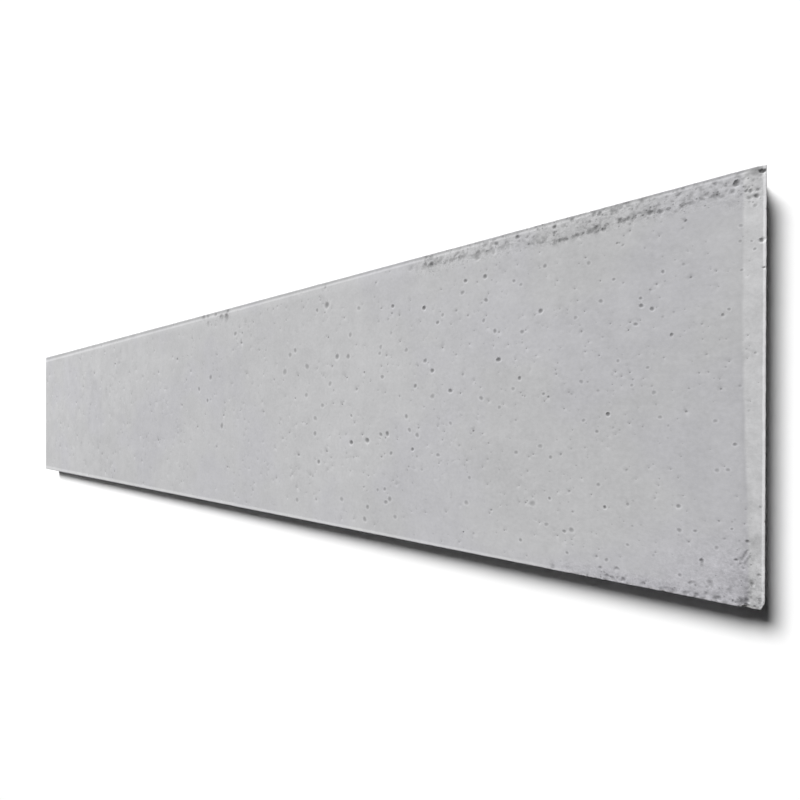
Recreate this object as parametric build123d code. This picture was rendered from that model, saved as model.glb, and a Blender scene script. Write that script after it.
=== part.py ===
from build123d import *
import os

# Smooth precast concrete fence panel, one casting, lying flat with its smooth
# mould face up.  Millimetres, +Z up, +X along the panel, +Y towards the edge
# that is uppermost when the panel stands in its posts.
# The origin is the centre of the back face, where the panel rests.

# ---------------------------------------------------------------- dimensions
LENGTH = 2000.0        # along X, end to end
WIDTH = 400.0          # along Y, the panel's standing height
THICK = 40.0           # along Z, back face to mould face

END_LAND = 17.0        # length of the tapered strip at each end of the face
END_DROP = 3.0         # how much thinner the end is, to enter a post's groove
TOP_LAND = 18.0        # width of the sloping band along the +Y edge
TOP_DROP = 1.5         # how far that band falls
BACK_ARRIS = 1.5       # arris all round the back face

# the corner knocked off where the +X end meets the -Y edge
CHIP_X = 3.2           # along the -Y edge
CHIP_Y = 7.2           # up the +X end
CHIP_Z = 14.0          # how far below the face the break runs out

os.makedirs("parts", exist_ok=True)

HL, HW = LENGTH / 2, WIDTH / 2


def long_section():
    """Section across the panel, drawn in Y and Z, closed."""
    return [
        (-HW + BACK_ARRIS, 0.0),
        (HW - BACK_ARRIS, 0.0),
        (HW, BACK_ARRIS),
        (HW, THICK - TOP_DROP),
        (HW - TOP_LAND, THICK),
        (-HW, THICK),
        (-HW, BACK_ARRIS),
    ]


def end_section():
    """Section along the panel, drawn in X and Z, closed."""
    return [
        (-HL + BACK_ARRIS, 0.0),
        (HL - BACK_ARRIS, 0.0),
        (HL, BACK_ARRIS),
        (HL, THICK - END_DROP),
        (HL - END_LAND, THICK),
        (-HL + END_LAND, THICK),
        (-HL, THICK - END_DROP),
        (-HL, BACK_ARRIS),
    ]


def prism(points, plane, amount):
    """A closed outline on a plane, run out by amount both ways."""
    face = make_face(plane * Polyline(*points, close=True))
    return extrude(face, amount=amount, both=True)


def corner_break(corner, dx, dy, dz):
    """Everything outside the flat break that knocks a corner off.  The break
    meets the panel's edges dx, dy and dz from the corner, signs included."""
    qa = Vector(corner[0] + dx, corner[1], corner[2])
    qb = Vector(corner[0], corner[1] + dy, corner[2])
    qc = Vector(corner[0], corner[1], corner[2] + dz)
    n = (qb - qa).cross(qc - qa).normalized()
    if n.dot(Vector(*corner) - qa) < 0:
        n = n * -1.0
    plane = Plane(origin=(qa + qb + qc) / 3.0, z_dir=n)
    return plane * Pos(0, 0, 20.0) * Box(60.0, 60.0, 40.0)


section_across = prism(long_section(), Plane.YZ, HL + 10.0)
section_along = prism(end_section(), Plane.XZ, HW + 10.0)
panel = section_across & section_along

# The knocked-off corner at the near end, one flat facet.
panel = panel - corner_break((HL, -HW, THICK - END_DROP), -CHIP_X, CHIP_Y, -CHIP_Z)

solids = panel.solids()
assert len(solids) == 1, "the panel is one solid"
fence_panel = solids[0]

bb = fence_panel.bounding_box()
print("size", bb.size.X, bb.size.Y, bb.size.Z)
print("volume m3", fence_panel.volume * 1e-9)

export_step(fence_panel, "parts/fence_panel.step")
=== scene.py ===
import math

import bmesh
import bpy
import numpy as np
from mathutils import Matrix, Vector
from mathutils.geometry import delaunay_2d_cdt


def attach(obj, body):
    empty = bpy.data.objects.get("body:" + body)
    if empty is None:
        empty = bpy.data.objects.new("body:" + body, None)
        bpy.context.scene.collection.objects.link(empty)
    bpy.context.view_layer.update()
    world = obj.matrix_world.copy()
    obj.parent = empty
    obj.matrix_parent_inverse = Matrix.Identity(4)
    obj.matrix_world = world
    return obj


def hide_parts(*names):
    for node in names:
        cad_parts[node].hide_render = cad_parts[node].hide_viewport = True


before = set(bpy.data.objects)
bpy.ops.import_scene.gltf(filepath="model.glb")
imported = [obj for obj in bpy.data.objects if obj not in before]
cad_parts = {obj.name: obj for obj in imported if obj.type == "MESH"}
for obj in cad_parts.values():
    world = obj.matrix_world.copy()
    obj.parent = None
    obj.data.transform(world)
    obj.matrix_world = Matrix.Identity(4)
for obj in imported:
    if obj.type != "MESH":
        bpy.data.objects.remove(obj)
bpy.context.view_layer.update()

# ------------------------------------------------------------------ camera
# It looks down on the panel from above its near end, along its length.
scene = bpy.context.scene
cam_data = bpy.data.cameras.new("camera")
cam_data.sensor_fit = "HORIZONTAL"
cam_data.sensor_width = 36.0
cam_data.lens = 19.645
cam_data.shift_y = 0.029875
cam_data.clip_start = 0.01
cam_data.clip_end = 60.0
cam = bpy.data.objects.new("camera", cam_data)
scene.collection.objects.link(cam)
down = math.radians(53.557)
turn = Matrix(((math.sin(down), 0, math.cos(down)), (0, 1, 0), (-math.cos(down), 0, math.sin(down))))
turn = turn @ Matrix.Rotation(math.radians(0.125), 3, "Z") @ Matrix.Rotation(math.radians(-0.155), 3, "X")
cam.matrix_world = Matrix.Translation((0.96859, -0.03195, 0.54582)) @ turn.to_4x4()
scene.camera = cam

# ------------------------------------------------------- the panel, in mm
LENGTH, WIDTH, THICK = 2000.0, 400.0, 40.0
END_LAND, END_DROP = 17.0, 3.0
TOP_LAND, TOP_DROP = 18.0, 1.5
BACK_ARRIS = 1.3
CHIP = (3.2, 7.2, 14.0)
HL, HW = LENGTH / 2, WIDTH / 2

rng = np.random.default_rng(40127)

# The larger air holes of the mould face: along, across, width, depth class.
HOLES = [
    (49.3, 40.5, 7.7, 3), (83.3, 14.4, 7.1, 3), (95.5, 63.3, 8.8, 3), (138.0, -39.2, 9.2, 3),
    (185.9, 145.0, 7.6, 3), (338.6, 58.4, 8.5, 2), (353.0, 87.3, 7.1, 2), (366.5, 94.1, 6.4, 3),
    (372.1, -166.9, 6.2, 2), (395.4, 14.9, 6.2, 2), (397.3, 63.8, 7.8, 2), (417.9, -25.0, 6.8, 2),
    (417.2, -50.6, 6.4, 3), (421.8, 156.0, 5.4, 3), (426.3, -97.7, 6.5, 4), (435.1, -3.7, 6.1, 2),
    (445.0, 161.1, 9.0, 4), (452.8, 31.4, 6.3, 2), (468.6, 74.1, 7.6, 4), (479.3, -154.5, 6.0, 2),
    (492.8, 72.4, 6.5, 3), (497.3, 106.1, 6.0, 2), (499.9, -21.1, 4.3, 3), (500.0, -63.5, 6.9, 6),
    (515.1, 145.2, 5.6, 2), (528.0, -180.1, 6.1, 3), (532.8, -59.2, 7.4, 5), (533.8, -160.6, 5.5, 3),
    (553.5, -132.7, 4.1, 2), (556.9, 71.4, 4.7, 2), (558.8, 80.7, 5.0, 2), (559.4, -49.6, 5.3, 4),
    (561.9, 36.0, 5.3, 3), (567.1, -130.2, 4.5, 3), (569.2, -149.4, 5.3, 3), (571.6, -48.4, 6.2, 5),
    (576.5, -144.0, 6.0, 3), (578.7, -76.7, 4.7, 3), (581.2, 137.9, 5.2, 5), (586.3, -168.9, 5.2, 2),
    (605.6, 71.6, 5.0, 2), (606.0, -22.9, 5.0, 3), (611.5, -42.3, 5.0, 3), (617.0, -69.6, 4.7, 5),
    (621.4, 19.6, 5.0, 4), (624.8, -49.4, 5.4, 3), (635.9, 126.9, 5.4, 6), (637.9, 53.7, 5.2, 4),
    (649.4, 39.0, 5.6, 5), (649.8, 4.3, 5.4, 2), (657.8, 103.7, 4.6, 4), (659.0, -75.6, 4.5, 3),
    (665.7, 113.0, 4.1, 2), (677.7, 10.5, 5.4, 5), (678.1, -32.6, 3.9, 2), (695.7, 137.7, 4.7, 3),
    (700.0, 152.1, 4.6, 5), (702.1, -135.3, 4.8, 2), (706.3, -102.7, 3.7, 2), (722.7, -0.7, 4.5, 3),
    (725.8, 97.3, 4.0, 3), (727.7, 152.4, 5.1, 5), (729.0, 122.5, 4.7, 4), (741.1, 82.1, 4.5, 4),
    (746.0, 46.0, 5.5, 6), (747.2, -12.7, 3.6, 2), (764.9, 9.4, 3.7, 2), (765.6, 139.5, 3.5, 3),
    (768.9, -67.4, 3.8, 2), (772.9, 21.7, 4.2, 5), (774.3, 133.5, 3.3, 2), (774.7, -172.1, 3.6, 3),
    (775.9, 76.9, 4.2, 3), (788.9, -126.6, 5.7, 2), (798.1, 98.3, 4.9, 5), (798.0, -58.8, 4.1, 2),
    (801.8, 1.8, 3.2, 3), (802.9, 149.7, 4.0, 3), (805.3, -149.2, 3.7, 2), (808.9, -118.7, 3.3, 4),
    (810.0, -71.2, 3.5, 3), (825.5, -154.0, 3.6, 4), (828.6, -177.7, 3.1, 3), (833.3, -151.4, 4.5, 3),
    (837.0, 85.1, 3.4, 2), (843.2, 13.7, 3.5, 2), (845.8, -28.9, 3.2, 2), (850.6, 142.8, 3.6, 2),
    (859.6, -41.0, 3.1, 3), (861.2, -98.3, 3.3, 2), (863.0, 99.3, 3.7, 3), (863.1, -187.3, 3.0, 3),
    (867.7, -122.0, 3.6, 6), (869.5, -178.0, 3.3, 3), (870.5, -22.5, 4.0, 6), (875.7, 120.2, 2.9, 3),
    (880.0, 33.7, 2.9, 2), (880.1, -185.0, 3.4, 3), (889.7, -158.5, 2.8, 2), (893.0, 7.4, 2.6, 2),
    (896.5, 70.0, 3.5, 4), (900.8, 96.0, 3.0, 4), (901.5, 88.2, 3.8, 5), (907.4, 24.6, 2.7, 2),
    (911.1, 83.6, 3.8, 5), (913.0, -0.9, 3.4, 2), (918.4, -25.8, 3.1, 2), (920.4, 119.2, 3.2, 4),
    (934.3, -113.2, 3.6, 4), (935.0, -136.5, 3.4, 3), (935.6, -180.3, 3.0, 3), (944.0, -186.5, 2.7, 3),
    (947.9, -135.4, 2.7, 3), (946.9, -184.5, 3.0, 2), (953.1, -162.8, 3.7, 6), (953.4, -166.7, 3.2, 2),
    (960, -182.5, 4.2, 3), (963.3, -29.6, 2.9, 2), (964.7, -75.9, 3.2, 2), (964.7, -148.6, 3.0, 2),
    (973.0, -75.0, 2.7, 2), (973.2, 73.8, 2.4, 3), (976.0, -129.4, 2.1, 3), (978.1, -51.3, 3.0, 4),
    (979.3, -157.5, 2.7, 6),
    (981.6, 148.9, 2.7, 2), (981.2, 134.8, 2.3, 2), (982.4, 108.2, 2.3, 2), (991.7, 125.7, 2.3, 3),
    (989.4, 133.1, 1.9, 2), (991.8, 164.9, 2.7, 2), (974.1, -185.1, 1.6, 2), (960.6, -185.3, 2.6, 4),
    (957.7, -187, 2.2, 2), (996.8, 132.8, 4.1, 6),
]


# ------------------------------------------------------------------- noise
def lattice(i, j, seed):
    n = (i * 374761393 + j * 668265263 + seed * 974634777) & 0x7FFFFFFF
    n = ((n ^ (n >> 13)) * 1274126177) & 0x7FFFFFFF
    return ((n ^ (n >> 16)) & 0xFFFF) / 32767.5 - 1.0


def noise(x, y, size, seed):
    """Smooth noise from -1 to 1 whose bumps are about size mm across."""
    u, v = np.asarray(x, float) / size, np.asarray(y, float) / size
    i, j = np.floor(u).astype(np.int64), np.floor(v).astype(np.int64)
    fu, fv = u - i, v - j
    fu = fu * fu * fu * (fu * (fu * 6 - 15) + 10)
    fv = fv * fv * fv * (fv * (fv * 6 - 15) + 10)
    a, b = lattice(i, j, seed), lattice(i + 1, j, seed)
    c, d = lattice(i, j + 1, seed), lattice(i + 1, j + 1, seed)
    return (a + (b - a) * fu) * (1 - fv) + (c + (d - c) * fu) * fv


def fbm(x, y, size, seed, octaves=3):
    total, gain = 0.0, 1.0
    for k in range(octaves):
        total = total + gain * noise(x, y, size / 2**k, seed + 17 * k)
        gain *= 0.55
    return total / (1 + 0.55 + 0.3025 * (octaves > 2))


def step(lo, hi, x):
    t = np.clip((np.asarray(x, float) - lo) / (hi - lo), 0.0, 1.0)
    return t * t * (3 - 2 * t)


# ------------------------------------------------------------- air holes
# widths of the painted highlight ring round a mouth
RIM_MID, RIM_OUT = 1.2, 1.6   # the pale ring round a mouth, in mouths


class Holes:
    """Air holes in a flat patch: an uneven round mouth and a bowl under it."""

    def __init__(self, rows):
        a = np.array(rows, float).reshape(-1, 6)
        self.x, self.y, self.r, self.depth, self.dark, self.rim_highlight = a.T
        n = len(a)
        self.a2, self.p2 = rng.uniform(0.02, 0.16, n), rng.uniform(0, math.tau, n)
        self.a3, self.p3 = rng.uniform(0.0, 0.08, n), rng.uniform(0, math.tau, n)

    def mouth(self, k, angle):
        return self.r[k] * (
            1
            + self.a2[k] * np.cos(2 * angle + self.p2[k])
            + self.a3[k] * np.cos(3 * angle + self.p3[k])
        )

    def keep(self, mask):
        for name in ("x", "y", "r", "depth", "dark", "rim_highlight", "a2", "p2", "a3", "p3"):
            setattr(self, name, getattr(self, name)[mask])

    def near(self, x, y, reach):
        """For each hole, the points within reach times its mouth, and how far
        out they are, 1 at the mouth."""
        order = np.argsort(x)
        sx = x[order]
        for k in range(len(self.x)):
            big = self.r[k] * 1.25 * reach
            lo, hi = np.searchsorted(sx, (self.x[k] - big, self.x[k] + big))
            if lo == hi:
                continue
            ids = order[lo:hi]
            dx, dy = x[ids] - self.x[k], y[ids] - self.y[k]
            near = np.abs(dy) < big
            ids, dx, dy = ids[near], dx[near], dy[near]
            if len(ids):
                out = np.hypot(dx, dy) / self.mouth(k, np.arctan2(dy, dx))
                hit = out < reach
                if hit.any():
                    yield k, ids[hit], out[hit]

    def rings(self):
        """Points that draw each hole: its mouth, its wall and its floor."""
        pts, owner = [], []
        for k in range(len(self.x)):
            r = self.r[k]
            if r > 2.4:
                plan = ((11, 1.0), (10, 0.72), (6, 0.36))
            elif r > 1.4:
                plan = ((8, 1.0), (7, 0.66), (4, 0.33))
            elif r > 0.8:
                plan = ((7, 1.0), (5, 0.5))
            else:
                plan = ((6, 1.0),)
            turn = rng.uniform(0, math.tau)
            if self.rim_highlight[k] > 0:
                plan = ((9, RIM_OUT), (10, RIM_MID)) + plan
            for n, f in plan:
                ang = turn + math.tau * np.arange(n) / n + (0.5 * math.tau / n if f != 1 else 0)
                m = self.mouth(k, ang) * f
                pts.append(np.column_stack([self.x[k] + m * np.cos(ang), self.y[k] + m * np.sin(ang)]))
                owner.append(np.full(n, k))
            if plan[-1][1] > 0.3:
                pts.append(np.array([[self.x[k], self.y[k]]]))
                owner.append(np.array([k]))
        if not pts:
            return np.zeros((0, 2)), np.zeros(0, int)
        return np.vstack(pts), np.concatenate(owner)

    def dig(self, x, y):
        """How deep each point is below the surface, and how hollow, 0 to 1, or how pale, down to -1, in the painted
        highlight ring round a mouth."""
        depth, hollow = np.zeros(len(x)), np.zeros(len(x))
        for k, ids, out in self.near(x, y, 1.9):
            if self.rim_highlight[k] > 0:
                ring = -self.rim_highlight[k] * np.interp(out, (1.0, RIM_MID, RIM_OUT), (0.3, 1.0, 0.0))
                free = (out >= 0.999) & (hollow[ids] <= 0)
                hollow[ids[free]] = np.minimum(hollow[ids[free]], ring[free])
            hit = out < 0.999
            ids, out = ids[hit], out[hit]
            bell = (1 - out * out) ** 0.95
            depth[ids] = np.maximum(depth[ids], self.depth[k] * bell)
            hollow[ids] = np.maximum(hollow[ids], self.dark[k] * bell)
        return depth, hollow


def scatter(count, low, high, sizes, taken, gap=1.5, weight=None):
    """Round holes at random in a rectangle, clear of each other: each x, y, r."""
    out = []
    cells = {}

    def cell(x, y):
        return int(x // 12), int(y // 12)

    for x, y, r in taken:
        cells.setdefault(cell(x, y), []).append((x, y, r))
    tries = 0
    while len(out) < count and tries < count * 30:
        tries += 1
        x, y = rng.uniform(low[0], high[0]), rng.uniform(low[1], high[1])
        if weight is not None and rng.random() > weight(x, y):
            continue
        r = sizes()
        cx, cy = cell(x, y)
        if any(
            math.hypot(x - a, y - b) < gap * (r + c)
            for i in (-1, 0, 1)
            for j in (-1, 0, 1)
            for a, b, c in cells.get((cx + i, cy + j), ())
        ):
            continue
        cells.setdefault((cx, cy), []).append((x, y, r))
        out.append((x, y, r))
    return out


def power(lo, hi, k):
    """A radius between lo and hi, small ones far more often."""
    t = rng.random()
    return (lo**-k + t * (hi**-k - lo**-k)) ** (-1 / k)


# ---------------------------------------------------------- edge damage
# Bites out of the arrises: a centre just outside the concrete and a radius.
BITES = []


def bite(x, y, z, r):
    BITES.append((x, y, z, r))


def edge_bites():
    # along the +Y edge, close together where the edge is crumbly
    for u in (455, 503, 517, 563, 612, 640, 668, 704, 731, 748, 792, 815, 851, 884, 902, 931, 957):
        r = rng.uniform(1.2, 2.6)
        bite(u + rng.uniform(-4, 4), HW + r * rng.uniform(0.45, 0.75), THICK - 0.6, r)
    for u in (-912, -700, -655, -420, -250, -90, 60, 150, 260, 330):
        r = rng.uniform(1.5, 3.2)
        bite(u, HW + r * rng.uniform(0.5, 0.75), THICK - 0.6, r)
    # along the -Y edge
    for u in (-860, -735, -540, -310, -120, 30, 210, 390, 520, 655, 742, 803, 846, 893, 921, 946):
        r = rng.uniform(1.4, 3.0)
        bite(u, -HW - r * rng.uniform(0.45, 0.75), THICK - 1.0, r)
    # up the ends
    for v in (-120, -35, 62, 108, 160):
        r = rng.uniform(1.2, 2.4)
        bite(HL + r * rng.uniform(0.5, 0.8), v, THICK - END_DROP, r)
    for v in (-170, -96, 20, 88, 171):
        r = rng.uniform(1.2, 2.8)
        bite(-HL - r * rng.uniform(0.5, 0.8), v, THICK - END_DROP, r)
    # the back's arrises
    for u in (-930, -610, -205, 140, 480, 770):
        r = rng.uniform(1.8, 3.6)
        bite(u, HW + r * 0.5, -r * 0.3, r)
        bite(u + 90, -HW - r * 0.5, -r * 0.3, r)
    # the crumbled notch beside the knocked-off corner, and a nick by its tip
    bite(987.1, -201.6, 40.0, 4.7)
    bite(985.8, -199.4, 42.2, 3.3)
    bite(989.2, -199.8, 42.4, 3.1)
    bite(994.5, -201.7, 39.5, 2.6)
    bite(1002.4, -176.8, 39.0, 3.2)


edge_bites()
B = np.array(BITES)


# ---------------------------------------------------------- point spacing
def near_bites(x, y, z=None):
    """Distance from each point to the nearest bite's rim, in the face's plane."""
    d = np.full(len(x), 1e3)
    for bx, by, bz, br in BITES:
        if bz < 10:
            continue
        d = np.minimum(d, np.maximum(np.hypot(x - bx, y - by) - br, 0.0))
    return d


def line_spacing(lo, hi, base, spots, fine=0.9):
    """Points from lo to hi, base(u) apart and finer near the spots."""
    out, u = [lo], lo
    spots = np.array(sorted(spots)) if len(spots) else np.array([1e9])
    while True:
        d = max(0.0, np.abs(spots - u).min() - 4.0)
        h = min(base(u), fine + 0.3 * d)
        u += h
        if u >= hi - 0.4 * h:
            break
        out.append(u)
    out.append(hi)
    return np.array(out)


def long_base(u):
    return float(np.interp(u, (-1000, -990, -960, 0, 500, 700, 860, 1000), (2.5, 3.0, 6.0, 6.0, 4.6, 3.2, 2.2, 1.8)))


def near_base(v):
    return 2.0


def far_base(v):
    return 4.5


top_spots = [b[0] for b in BITES if b[1] > 190 and abs(b[0]) < 1000]
low_spots = [b[0] for b in BITES if b[1] < -190 and abs(b[0]) < 1000]
near_spots = [b[1] for b in BITES if b[0] > 990 and abs(b[1]) < 200]
far_spots = [b[1] for b in BITES if b[0] < -990 and abs(b[1]) < 200]
U_TOP = line_spacing(-HL, HL, long_base, top_spots + [994.0, 998.0])
U_LOW = line_spacing(-HL, HL, long_base, low_spots + [990.0, 994.0, 998.0])
V_NEAR = line_spacing(-HW, HW, near_base, near_spots + [-198.0, -193.0, 108.8, 133.2, 196.0])
U_LOW[np.argmin(np.abs(U_LOW - (HL - CHIP[0])))] = HL - CHIP[0]
V_NEAR[np.argmin(np.abs(V_NEAR - (CHIP[1] - HW)))] = CHIP[1] - HW
V_FAR = line_spacing(-HW, HW, far_base, far_spots)


def jittered(x0, x1, y0, y1, h, jitter=0.28):
    nx, ny = max(1, int(round((x1 - x0) / h))), max(1, int(round((y1 - y0) / (h * 0.87))))
    gx = x0 + (np.arange(nx) + 0.5) * (x1 - x0) / nx
    gy = y0 + (np.arange(ny) + 0.5) * (y1 - y0) / ny
    X, Y = np.meshgrid(gx, gy)
    X = X + ((np.arange(ny) % 2) * 0.5 - 0.25)[:, None] * (x1 - x0) / nx
    X = X + rng.uniform(-jitter, jitter, X.shape) * h
    Y = Y + rng.uniform(-jitter, jitter, Y.shape) * h
    return np.column_stack([X.ravel(), Y.ravel()])


def graded(x0, x1, y0, y1, spacing, levels):
    """Points whose distance from each other follows spacing(x, y)."""
    parts = []
    for k, h in enumerate(levels):
        p = jittered(x0, x1, y0, y1, h)
        s = spacing(p[:, 0], p[:, 1])
        lo = -1.0 if k == 0 else math.sqrt(levels[k - 1] * h)
        hi = 1e9 if k == len(levels) - 1 else math.sqrt(levels[k + 1] * h)
        parts.append(p[(s >= lo) & (s < hi)])
    return np.vstack(parts)


# ------------------------------------------------------------- the face
def crumb_line(x):
    """Across-position of the crumbly line under the +Y band."""
    at = (600, 640, 719, 746, 791, 824, 837, 857, 882, 894, 909, 918, 928, 975)
    below = (14.0, 15.2, 16.7, 15.0, 20.0, 23.5, 22.6, 20.8, 19.8, 18.6, 17.2, 16.6, 18.5, 15.7)
    return HW - np.interp(x, at, below) - 1.5 * step(740, 820, x) + 0.6 * noise(x, 0 * x, 11.0, 6)


def crumb_zone(x, y):
    """0 outside the crumbly stretches, to 1 in their middle."""
    top = step(590, 640, x) * step(169, 173.5, y)
    low = step(780, 840, x) * (1 - step(-189, -184, y))
    corner = step(948, 968, x) * (1 - step(-176, -164, y))
    head = step(960, 972, x) * step(160, 168, y)
    scratch = step(976, 979, x) * (1 - step(990, 994, x)) * step(-166, -163, y) * (1 - step(-146, -143, y))
    far = step(95, 110, x) * (1 - step(165, 180, x)) * step(176, 180, y)
    return np.maximum.reduce([top, low, corner, head, scratch, far])


SCRATCHES = [
    (983.0, -157.0, 987.8, -147.2, 1.5, 0.60),
    (985.0, -161.0, 989.2, -152.6, 1.1, 0.38),
    (985.0, -185.0, 989.3, -178.6, 1.0, 0.35),
    (905.0, 96.0, 911.0, 103.0, 0.5, 0.2),
    (979.6, -196.6, 988.6, -193.7, 2.0, 0.75),
]


# Pores that stand out in the crumbly stretches: along, across, width, depth class.
PORES = [
    (66.0, 193.9, 9.5, 2), (82.0, 193.9, 8.1, 2), (85.5, 178.4, 8.0, 2), (112.9, 193.4, 7.8, 2),
    (135.8, 184.0, 11.7, 2), (154.3, 183.5, 10.6, 3), (157.8, 193.5, 8.1, 2), (612.4, 186.1, 5.9, 2),
    (624.3, 185.1, 4.6, 2), (637.3, 186.1, 5.2, 4), (647.8, 184.2, 6.3, 5), (655.8, 190.2, 4.1, 2),
    (660.3, 185.2, 6.2, 2), (671.3, 184.7, 4.6, 2), (682.3, 183.7, 5.1, 3), (688.2, 190.2, 4.5, 2),
    (692.2, 184.2, 4.5, 3), (699.7, 183.7, 5.9, 2), (709.7, 181.2, 4.9, 3), (716.7, 178.3, 5.7, 3),
    (718.2, 184.3, 5.7, 3), (719.7, 195.3, 2.2, 2), (725.2, 184.3, 5.6, 2), (727.7, 192.3, 5.6, 2),
    (738.7, 180.8, 5.3, 3), (742.7, 190.3, 4.1, 5), (757.1, 182.8, 4.3, 3), (768.1, 181.3, 4.0, 3),
    (769.6, 191.8, 4.2, 5), (776.1, 181.8, 3.9, 4), (782.1, 188.8, 3.1, 3), (782.1, 181.8, 3.6, 4),
    (795.1, 179.4, 3.6, 3), (812.6, -196.9, 4.5, 3), (813.6, 185.4, 3.2, 4), (813.6, 192.4, 3.7, 6),
    (825.6, 174.4, 4.8, 2), (833.0, 194.9, 4.7, 3), (838.5, 175.9, 4.6, 3), (856.0, 194.9, 4.5, 3),
    (858.5, 179.4, 4.5, 4), (859.0, 175.0, 4.5, 3), (861.5, 193.9, 4.3, 4), (863.5, -187.8, 2.4, 3),
    (865.5, 175.5, 3.7, 3), (870.5, -195.3, 3.9, 3), (875.5, -196.8, 4.3, 3), (879.0, -185.3, 2.8, 3),
    (882.0, 180.5, 4.3, 4), (886.0, -195.8, 3.6, 5), (889.5, 180.5, 3.8, 4), (895.0, 181.0, 3.2, 4),
    (902.0, 195.5, 4.1, 3), (904.5, -195.8, 3.5, 3), (909.4, 181.0, 4.1, 5), (917.9, 179.5, 4.0, 5),
    (923.4, 193.0, 2.6, 3), (930.4, -197.2, 3.9, 3), (933.4, 192.0, 3.3, 4), (940.4, -197.3, 3.8, 3),
    (944.4, -186.2, 2.7, 3), (949.4, -196.7, 3.7, 3), (956.4, 185.1, 3.7, 3), (956.9, -193.7, 2.8, 3),
    (962.4, 193.6, 3.1, 4), (966.4, -195.7, 3.6, 4), (967.9, 179.6, 2.6, 3), 
    (975.4, 181.6, 3.4, 3), (978.4, 189.0, 4.4, 6), (978.6, 187.7, 3.6, 6),
    (984.8, 183.1, 2.4, 4), (987.2, 182.5, 2.2, 4), (985.4, 179.6, 2.6, 5),
    (986.9, -197.5, 3.4, 6), (987.4, -193.2, 3.4, 5), (987.9, 172.6, 2.8, 3), (988.6, 178.7, 2.7, 5),
    (990.9, -177.7, 2.9, 5), (992.7, 173.1, 3.2, 6), (994.1, 178.8, 2.6, 2),
    (990.7, 187.8, 2.4, 2), (964.0, -196.8, 3.0, 4), (990.0, -190.0, 2.4, 3), (992.4, 196.1, 3.4, 3), 
    
]
# Pits elsewhere: along, across, width, depth against width, darkness.
SPOTS = [
    (996.5, -107.7, 1.9, 0.3, 0.4), (998.3, 108.0, 2.4, 0.5, 0.9), (881.0, 157.0, 2.2, 0.2, 0.3),
    (884.5, 154.0, 3.0, 0.15, 0.3), (982.4, -160.6, 2.4, 0.3, 0.45), (984.7, -164.4, 2.4, 0.25, 0.4),
    (995.9, -168.9, 3.2, 0.3, 0.5), (987.5, -139.5, 3.4, 0.35, 0.75),
]


def spots():
    rows = [(x, y, d / 2, d * k, dark, 0.0) for x, y, d, k, dark in SPOTS]
    rows += [(x, y, d * 0.70, d * (0.06 + 0.07 * k), DARK[k], 0.0) for x, y, d, k in PORES]
    # the pocket broken into the near upper corner, joined hollows
    rows += [
        (996.0, 195.2, 2.1, 1.8, 1.7, 0.0), (997.9, 194.5, 1.8, 1.8, 1.7, 0.0),
        (994.3, 196.2, 1.6, 0.9, 1.0, 0.0), (998.9, 195.2, 1.3, 1.0, 1.3, 0.0),
        (992.2, 195.2, 5.4, 0.7, 0.60, 0.0), (994.6, 192.4, 3.4, 0.35, 0.38, 0.0),
    ]
    return rows


def crumble(x, y):
    """How deep the crumbly stretches are pitted, in mm, how dark, 0 to 1, and
    how crumbly, 0 to 1."""
    out_depth, out_dark, out_g = np.zeros(len(x)), np.zeros(len(x)), np.zeros(len(x))
    ids = np.nonzero(crumb_zone(x, y) > 0.01)[0]
    if not len(ids):
        return out_depth, out_dark, out_g
    x, y = x[ids], y[ids]
    zone = crumb_zone(x, y)
    off = y - crumb_line(x)
    patchy = 0.5 + 0.5 * noise(x, 0 * x, 17.0, 31)
    patchy2 = 0.5 + 0.5 * noise(x, y, 14.0, 33)
    wide = np.interp(x, (600, 1000), (3.8, 3.5))
    line = np.exp(-((off / wide) ** 2)) * (0.62 + 0.45 * patchy)
    band = step(-1.5, 2.5, off) * (0.31 + 0.48 * patchy2)
    top = step(600, 640, x) * (1 - step(990, 999, x)) * step(168, 172, y) * np.maximum(line * (1 - step(972, 984, x)), band)
    low = step(770, 870, x) * np.exp(-(((y + HW) / np.interp(x, (800, 1000), (5.0, 9.0))) ** 2)) * (0.45 + 0.50 * patchy)
    away = np.hypot(x - 992, (y + 196) * 1.15)
    corner = (0.72 - 0.72 * step(8, 46, away)) * (0.60 + 0.60 * patchy2)
    corner = corner * (1 - 0.75 * step(989, 993, x) * step(-192, -184, y))
    left = step(95, 112, x) * (1 - step(160, 180, x)) * np.exp(-(((y - 188) / 7) ** 2)) * 0.45
    scratch = np.exp(-(((x - 983.5) / 6.0) ** 2) - (((y + 156) / 11.0) ** 2)) * 0.40
    g = np.maximum.reduce([top, low, corner, left, scratch]) * zone
    t = step(700, 900, x)
    n = (1 - t) * fbm(x, y, 5.4, 361) + t * fbm(x, y, 3.9, 371)
    amount = np.clip((n - (0.46 - 0.58 * g)) / 0.30, 0, 1) * step(0.02, 0.10, g)
    out_depth[ids] = 0.28 * amount * (0.4 + 0.7 * g) + 0.08 * g
    out_dark[ids] = 0.46 * amount * (0.45 + 0.6 * g) + 0.10 * g
    out_g[ids] = g
    return out_depth, out_dark, out_g


taken = [(x, y, d / 2) for x, y, d, k in HOLES]
DARK = {2: 0.40, 3: 0.50, 4: 0.60, 5: 0.72, 6: 0.82}
DEEP = {2: 0.09, 3: 0.13, 4: 0.22, 5: 0.36, 6: 0.50}
OPEN = {2: 0.74, 3: 0.73, 4: 0.69, 5: 0.65, 6: 0.62}
# the last column is how strong the painted highlight ring round each mouth is
face_rows = [
    (x, y, d * OPEN[k], d * 0.6 * DEEP[k], DARK[k], 0.5 + 0.1 * k) for x, y, d, k in HOLES
]


def clear_of_crumbs(x, y):
    return float(crumb_zone(np.array([x]), np.array([y]))[0]) < 0.02


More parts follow.
